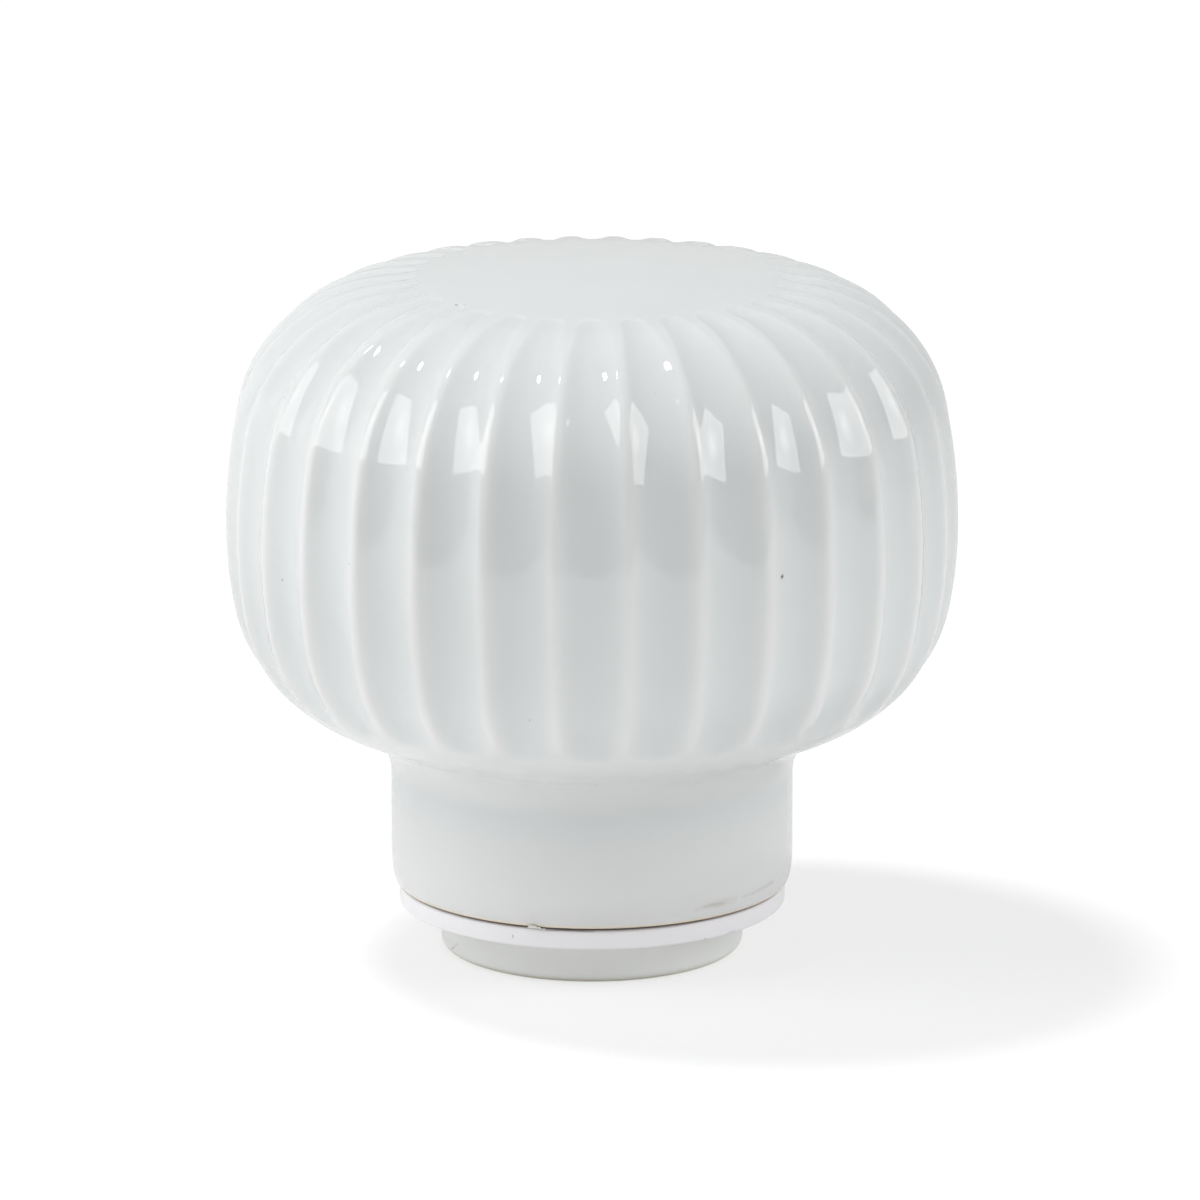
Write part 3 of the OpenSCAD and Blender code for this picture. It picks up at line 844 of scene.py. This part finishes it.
# %% Cement and seal
thimble_z, thimble_top_z, thimble_r = levels("thread_thimble")
seal_z, seal_top_z, seal_r = levels("cement_edge_seal")
inner_r = thimble_r + fit_gap
grout_edge = 0.3 * mm
neck_columns = 128
ring("cement_grout", "neck_cement", "head", grout, inner_r, grout_edge, neck_columns)

sag = 0.35 * mm
half_w = (seal_r - inner_r) / 2
sag_r = (half_w ** 2 + sag ** 2) / (2 * sag)
sag_turn = degrees(atan2(half_w, sag_r - sag))
outline = arc((inner_r + half_w, seal_z + sag - sag_r), sag_r, 90 - sag_turn, 90 + sag_turn, 8)
outline += [(inner_r, seal_top_z), (seal_r, seal_top_z)]
bm = bmesh.new()
lathe(bm, outline, neck_columns)
piece("bitumen_seal", bm, "cement_edge_seal", "head", bitumen)

# %% Thimble with its inner thread
pitch = 6.35 * mm
thread_z, thread_top_z, _ = levels("pin_thread_head")
thread_r = 12.7 * mm
thread_depth = 1.9 * mm
thread_gap = 0.4 * mm
# Shares of the pitch that the crest and each flank take
crest_share = 0.2
flank_share = 0.25
# The teeth are sunk this far into the wall that carries them
sunk = 0.3 * mm
skirt_r = 15.25 * mm
skirt_top_z = thread_z + 0.8 * mm
thimble_bore_top = thimble_top_z - 3 * mm
thimble_edge = 0.3 * mm
thimble_top_edge = 1 * mm
groove_r = thread_r + thread_gap
bead_room = 0.05 * mm

bm = bmesh.new()
low = crest_share + thread_gap / pitch
high = 1 - thread_gap / pitch
top_low = low + flank_share
top_high = high - flank_share
tooth_r = groove_r - thread_depth
base = thread_z - 2 * pitch
tooth = [(groove_r + sunk, base + pitch * low), (groove_r, base + pitch * low)]
tooth += [(tooth_r, base + pitch * top_low), (tooth_r, base + pitch * top_high)]
tooth += [(groove_r, base + pitch * high), (groove_r + sunk, base + pitch * high)]
coil(bm, tooth, pitch, (thimble_bore_top - thread_z) / pitch + 3)
trim(bm, skirt_top_z, thimble_bore_top)
groove = [(skirt_r, bead_z + bead_half + bead_room)]
groove += arc((barrel_r, bead_z), bead_out + bead_room, 60, -60, 6)
groove += [(skirt_r, bead_z - bead_half - bead_room)]
outline = [(0, thimble_bore_top), (groove_r, thimble_bore_top), (groove_r, skirt_top_z)]
outline += [(skirt_r, skirt_top_z)] + groove
outline += [(skirt_r, thimble_z + thimble_edge), (skirt_r + thimble_edge, thimble_z)]
outline += [(thimble_r - thimble_edge, thimble_z), (thimble_r, thimble_z + thimble_edge)]
top_corner = (thimble_r - thimble_top_edge, thimble_top_z - thimble_top_edge)
outline += arc(top_corner, thimble_top_edge, 0, 90, 4)
outline += [(0, thimble_top_z)]
lathe(bm, outline, neck_columns, closed=False)
piece("zinc_thimble", bm, "thread_thimble", "head", zinc)

# %% [markdown]
# ## The pin
# Inside the foot a steel spindle is held by a nut, washers and two red fibre washers, which keep the
# steel off the brittle porcelain. A nylon thread head is moulded on the spindle's tail. All of this
# comes into view when the head is screwed off, so the nut has real chamfers, the spring washer its
# slanted slit and the thread its true screw.

# %% Finishes of the pin
def turned_steel(name, light, dark, rough):
    """Turned and plated steel: fine rings from the lathe tool round the axis."""
    finish = new_finish(name, Metallic=1.0)
    here = place(finish)
    across = axis_distance(finish, here)
    height = height_of(finish, here)
    travel = add(finish, "CombineXYZ", across, height, 0.0)
    rings = noise(finish, travel, 4000.0, 2.0)
    cloud = noise(finish, here, 350.0)
    worn = times(finish, rings, cloud)
    wear = add(finish, "MapRange", worn, 0.1, 0.4, rough, rough + 0.2)
    base = tint(finish, cloud, dark, light)
    wire(finish, Base_Color=base, Roughness=wear, Normal=bump(finish, rings, 0.01 * mm))
    return done(finish)


plated = turned_steel("plated_steel", colour(0.66, 0.67, 0.69), colour(0.50, 0.51, 0.53), rough=0.22)
spring = turned_steel("spring_steel", colour(0.30, 0.31, 0.33), colour(0.16, 0.165, 0.18), rough=0.3)
fibre = grainy("red_fibre", colour(0.36, 0.12, 0.075), colour(0.22, 0.06, 0.04),
               scale=1400.0, rough=0.55, height=0.05 * mm)
ivory = grainy("ivory_nylon", colour(0.76, 0.72, 0.60), colour(0.70, 0.655, 0.53),
               scale=700.0, rough=0.32, height=0.02 * mm)

# %% Spindle with its tapped hole
spindle_z, spindle_top_z, spindle_foot_r = levels("spindle")
spindle_r = 8 * mm
spindle_foot_top = 4.2 * mm
tail_r = 6.5 * mm
tap_r = 3.4 * mm
# The drilled hole, and the root of the thread's teeth just inside its wall
drill_r = tap_r + 0.6 * mm
tap_root_r = tap_r + 0.65 * mm
tap_end_z = 14.6 * mm
tap_pitch = 1.25 * mm
edge = 0.5 * mm
pin_columns = 96
outline = [(0, tap_end_z + tap_r / 2), (drill_r, tap_end_z), (drill_r, spindle_z + edge)]
outline += [(drill_r + edge, spindle_z), (spindle_foot_r - edge, spindle_z)]
outline += [(spindle_foot_r, spindle_z + edge), (spindle_foot_r, spindle_foot_top)]
outline += [(spindle_r, spindle_foot_top), (spindle_r, thread_z), (tail_r, thread_z)]
outline += [(tail_r, spindle_top_z - edge), (tail_r - edge, spindle_top_z), (0, spindle_top_z)]
bm = bmesh.new()
tap_base = spindle_z - tap_pitch
tooth = [(tap_root_r, tap_base), (tap_r, tap_base + 0.5 * tap_pitch)]
tooth += [(tap_root_r, tap_base + 0.95 * tap_pitch)]
coil(bm, tooth, tap_pitch, (tap_end_z - spindle_z) / tap_pitch + 1, steps=24)
trim(bm, spindle_z + edge, tap_end_z - edge)
lathe(bm, outline, pin_columns, closed=False)
piece("steel_spindle", bm, "spindle", "base", plated)

# %% Washers
hole_r = spindle_r + fit_gap
columns = 112
ring("red_washer_low", "lower_fibre_washer", "base", fibre, hole_r, 0.15 * mm, columns)
ring("red_washer_top", "upper_fibre_washer", "base", fibre, hole_r, 0.25 * mm, columns)
ring("plain_washer", "flat_washer", "base", plated, hole_r, 0.3 * mm, columns)

# %% Split spring washer
spring_z, spring_top_z, spring_r = levels("lock_washer")
slit_w = 1.2 * mm
slit_lean = tan(radians(30))
spring_edge = 0.25 * mm
spring_mid_z = (spring_z + spring_top_z) / 2
# Half of the slit, as an angle seen from the axis
half_slit = slit_w / 2 / (0.5 * (hole_r + spring_r))

bm = bmesh.new()
outline = ring_outline(hole_r, spring_r, spring_z, spring_top_z, spring_edge, steps=3)
section = [bm.verts.new((r * cos(half_slit), r * sin(half_slit), z)) for r, z in outline]
face = bm.faces.new(section)
bmesh.ops.spin(bm, geom=[face], cent=(0, 0, 0), axis=(0, 0, 1), dvec=(0, 0, 0),
               angle=2 * pi - 2 * half_slit, steps=pin_columns)
bmesh.ops.remove_doubles(bm, verts=bm.verts, dist=weld)
for v in bm.verts:
    lean = (spring_mid_z - v.co.z) * slit_lean / v.co.xy.length
    v.co = Matrix.Rotation(lean, 3, "Z") @ v.co
bmesh.ops.recalc_face_normals(bm, faces=bm.faces)
piece("split_washer", bm, "lock_washer", "base", spring)

# %% Hexagon nut
nut_z, nut_top_z, _ = levels("lock_nut")
nut_flats = 24 * mm
nut_corner_r = nut_flats / 2 / cos(pi / 6)
nut_face_r = nut_flats / 2 - 0.35 * mm
nut_cone = tan(radians(30))
nut_side = (nut_corner_r - nut_face_r) * nut_cone
nut_bore = 0.6 * mm
nut_columns = 144
nut_mid_z = (nut_z + nut_top_z) / 2
nut_half = (nut_top_z - nut_z) / 2

outline = [(hole_r, nut_z + nut_bore), (hole_r + nut_bore, nut_z), (nut_face_r, nut_z)]
outline += [(nut_corner_r, nut_z + nut_side)]
outline += line((nut_corner_r, nut_z + nut_side), (nut_corner_r, nut_top_z - nut_side), 4)
outline += [(nut_face_r, nut_top_z), (hole_r + nut_bore, nut_top_z), (hole_r, nut_top_z - nut_bore)]
bm = bmesh.new()
# Press the round side flat on six sides, and let its rows follow the chamfers
for v in lathe(bm, outline, nut_columns):
    if v.co.xy.length < nut_corner_r - 0.01 * mm:
        continue
    turn = (atan2(v.co.y, v.co.x) + pi / 6) % (pi / 3) - pi / 6
    flat_r = nut_flats / 2 / cos(pi / 6 - abs(turn))
    room = nut_half - (flat_r - nut_face_r) * nut_cone
    share = (v.co.z - nut_mid_z) / (nut_half - nut_side)
    x, y = v.co.x / nut_corner_r * flat_r, v.co.y / nut_corner_r * flat_r
    v.co = (x, y, nut_mid_z + room * share)
bmesh.ops.recalc_face_normals(bm, faces=bm.faces)
piece("hex_nut", bm, "lock_nut", "base", plated, smooth_angle=20)

# %% Nylon thread of the pin
bm = bmesh.new()
root_r = thread_r - thread_depth
base = thread_z - 2 * pitch
tooth_low = base - pitch * flank_share
tooth_high = base + pitch * (crest_share + flank_share)
tooth = [(root_r - sunk, tooth_low), (root_r, tooth_low), (thread_r, base)]
tooth += [(thread_r, base + pitch * crest_share), (root_r, tooth_high), (root_r - sunk, tooth_high)]
coil(bm, tooth, pitch, (thread_top_z - thread_z) / pitch + 4)
trim(bm, thread_z, thread_top_z)
tail_hole_r = tail_r + fit_gap
tail_hole_top = spindle_top_z + fit_gap
outline = [(0, tail_hole_top), (tail_hole_r, tail_hole_top), (tail_hole_r, thread_z)]
outline += [(root_r, thread_z), (root_r, thread_top_z), (0, thread_top_z)]
lathe(bm, outline, pin_columns, closed=False)
piece("ivory_thread", bm, "pin_thread_head", "base", ivory)

# %% [markdown]
# ## The studio
# The insulator stands on a sheet of white paper. Two upright softboxes left and right of the camera
# give the window-like patches in the flutes. A key lamp, high up on the left and a little behind,
# gives the soft shadow. Reflections leave it out, and a smaller lamp near it gives the bright dots. A
# low grey card under the camera and pale walls beside and behind the insulator show in the glaze. The
# paper shows as white to the camera, in mirrors and through glass, but it lights the porcelain only
# with the light that falls on it.

# %% White paper
paper_w = 2.4
paper_front = -0.75
paper_back = 2.4
paper_glow = 0.61
# Mirrors show the paper duller than the camera does, and more so towards its far side
mirror_near = 0.88
mirror_far = 0.6
dull_from_y = -0.15
dull_full_y = 0.2
paper_white = colour(0.93, 0.93, 0.93)
paper_fibre = colour(0.8, 0.8, 0.8)
paper_shown = colour(0.40, 0.40, 0.40)


def paper_finish():
    """White paper that shows as white and still takes a shadow."""
    finish = bpy.data.materials.new("white_paper")
    finish.use_nodes = True
    tree = finish.node_tree
    tree.nodes.remove(tree.nodes["Principled BSDF"])
    rays = tree.nodes.new("ShaderNodeLightPath")
    seen = math(finish, "MAXIMUM", rays.outputs["Is Camera Ray"], rays.outputs["Is Glossy Ray"])
    seen = math(finish, "MAXIMUM", seen, rays.outputs["Is Transmission Ray"])
    here = place(finish)
    fibres = noise(finish, here, 40.0)
    white = tint(finish, times(finish, fibres, 0.05), paper_white, paper_fibre)
    paper = add(finish, "BsdfDiffuse", tint(finish, seen, white, paper_shown))
    far_side = between(finish, add(finish, "SeparateXYZ", here, out="Y"), dull_from_y, dull_full_y)
    dull = add(finish, "MapRange", far_side, 0.0, 1.0, 1 - mirror_near, 1 - mirror_far)
    dull = times(finish, rays.outputs["Is Glossy Ray"], dull)
    strength = times(finish, math(finish, "SUBTRACT", seen, dull), paper_glow)
    glow = add(finish, "Emission", Color=colour(1, 1, 1), Strength=strength)
    both = add(finish, "AddShader", paper, glow)
    put(finish, tree.nodes["Material Output"].inputs["Surface"], both)
    return done(finish)


bm = bmesh.new()
bmesh.ops.create_grid(bm, x_segments=1, y_segments=1, size=0.5)
bmesh.ops.scale(bm, vec=(paper_w, paper_back - paper_front, 1), verts=bm.verts)
bmesh.ops.translate(bm, vec=(0, (paper_back + paper_front) / 2, 0), verts=bm.verts)
paper = solid("paper", bm, paper_finish())
print("paper:", paper_w, "m wide")

# %% Grey card under the camera
card_y = -0.42
card_h = 0.06
card_thick = 0.004
card_gap = 0.0005
card_light = colour(0.44, 0.44, 0.44)
card_dark = colour(0.40, 0.40, 0.40)


def card_finish():
    """Dull grey card."""
    finish = new_finish("grey_card", Roughness=0.9)
    cloud = noise(finish, place(finish), 60.0)
    wire(finish, Base_Color=tint(finish, cloud, card_dark, card_light))
    return done(finish)


bm = bmesh.new()
bmesh.ops.create_cube(bm, size=1)
bmesh.ops.scale(bm, vec=(paper_w, card_thick, card_h), verts=bm.verts)
bmesh.ops.translate(bm, vec=(0, card_y, card_h / 2 + card_gap), verts=bm.verts)
card = solid("card", bm, card_finish())
card.visible_camera = False
card.visible_shadow = False
print("card:", card_h, "m high")


# %% Lamps
def lamp(name, centre, facing, width, height, power, shape="RECTANGLE"):
    """An area lamp at a place, which shines along a direction."""
    data = bpy.data.lights.new(name, "AREA")
    data.shape = shape
    data.size, data.size_y = width, height
    data.energy = power
    made = bpy.data.objects.new(name, data)
    bpy.context.scene.collection.objects.link(made)
    back = -Vector(facing).normalized()
    side = Vector((0, 0, 1)).cross(back).normalized()
    turn = Matrix((side, back.cross(side), back)).transposed()
    made.matrix_world = Matrix.Translation(centre) @ turn.to_4x4()
    made.visible_camera = False
    print(f"{name}: {power} W")
    return made


# Where a softbox is brightest, as shares of its width and height, and how far that reaches
bulb_at = (0.5, 0.4, 0.0)
bulb_reach = 0.32


def softbox(name, near_edge, far_edge, low, high, power, bulb):
    """An upright softbox between two upright edges, brighter where its bulb sits."""
    near, far = Vector((*near_edge, 0)), Vector((*far_edge, 0))
    middle = (near + far) / 2
    width = (far - near).length
    facing = Vector((0, 0, 1)).cross(far - near)
    if facing.dot(middle) > 0:
        facing = -facing
    middle.z = (low + high) / 2
    made = lamp(name, middle, facing, width, high - low, power)
    shade = made.data
    shade.use_nodes = True
    across = add(shade, "NewGeometry", out="Parametric")
    spread = add(shade, "VectorMath", across, bulb_at, operation="DISTANCE", out="Value")
    glow = math(shade, "MULTIPLY_ADD", between(shade, spread, bulb_reach, 0.0), bulb, 1.0)
    put(shade, shade.node_tree.nodes["Emission"].inputs["Strength"], glow)


def from_angles(turn, rise, far):
    """A place seen from the head: turned from the camera's side to the right, raised, and so far off."""
    turn, rise = radians(turn), radians(rise)
    return Vector((sin(turn) * cos(rise), -cos(turn) * cos(rise), sin(rise))) * far


softbox("left_softbox", (-0.357, -0.418), (-0.839, -0.007), 0.21, 0.99, 3.0, 0.6)
softbox("right_softbox", (0.622, -0.503), (0.892, 0.062), 0.195, 0.91, 3.0, 0.9)
key_at = from_angles(-113.6, 68.1, 2.2)
key = lamp("key_lamp", key_at, -key_at, 0.42, 0.42, 25.0, "DISK")
key.visible_glossy = False
spark_at = from_angles(-102.5, 71.4, 2.0)
lamp("spark_lamp", spark_at, -spark_at, 0.22, 0.22, 1.7, "DISK")

# %% Room light
room_grey = colour(0.30, 0.30, 0.305)
front_grey = colour(0.39, 0.39, 0.39)
wall_grey = colour(0.88, 0.88, 0.88)
# How much of the wall's grey shows behind and on the right; on the left it is all of it
behind_share = 0.55
right_share = 0.6
world = bpy.data.worlds.new("studio")
bpy.context.scene.world = world
world.use_nodes = True
# In a world, the first texture coordinate is the direction that a ray leaves in
way = add(world, "TexCoord", out=0)
forwards = add(world, "SeparateXYZ", way, out="Y")
room = tint(world, between(world, forwards, 0.2, -0.4), room_grey, front_grey)
behind = times(world, between(world, forwards, 0.0, 0.7), behind_share)
back_wall = times(world, behind, between(world, height_of(world, way), 0.75, 0.0))
sideways = add(world, "SeparateXYZ", way, out="X")
beside = times(world, between(world, sideways, 0.5, 0.9), right_share)
beside = math(world, "MAXIMUM", beside, between(world, sideways, -0.5, -0.9))
beside = times(world, beside, between(world, forwards, -0.4, -0.2))
side_wall = times(world, beside, between(world, height_of(world, way), 0.4, 0.2))
pale = math(world, "MAXIMUM", back_wall, side_wall)
put(world, world.node_tree.nodes["Background"].inputs["Color"], tint(world, pale, room, wall_grey))
print("room light set")

# %% Camera
look_at = Vector((0, 0, 0.0478))
camera_rise = radians(14.05)
camera_far = 1.2097
camera_way = Vector((0, -cos(camera_rise), sin(camera_rise)))
data = bpy.data.cameras.new("camera")
data.sensor_width = 36
data.lens = 279.64
data.shift_x, data.shift_y = 0.0066, -0.0106
camera = bpy.data.objects.new("camera", data)
bpy.context.scene.collection.objects.link(camera)
camera.location = look_at + camera_way * camera_far
camera.rotation_euler = (-camera_way).to_track_quat("-Z", "Y").to_euler()
bpy.context.scene.camera = camera
bpy.context.scene.view_settings.view_transform = "Standard"
print("camera at", [round(v, 3) for v in camera.location])
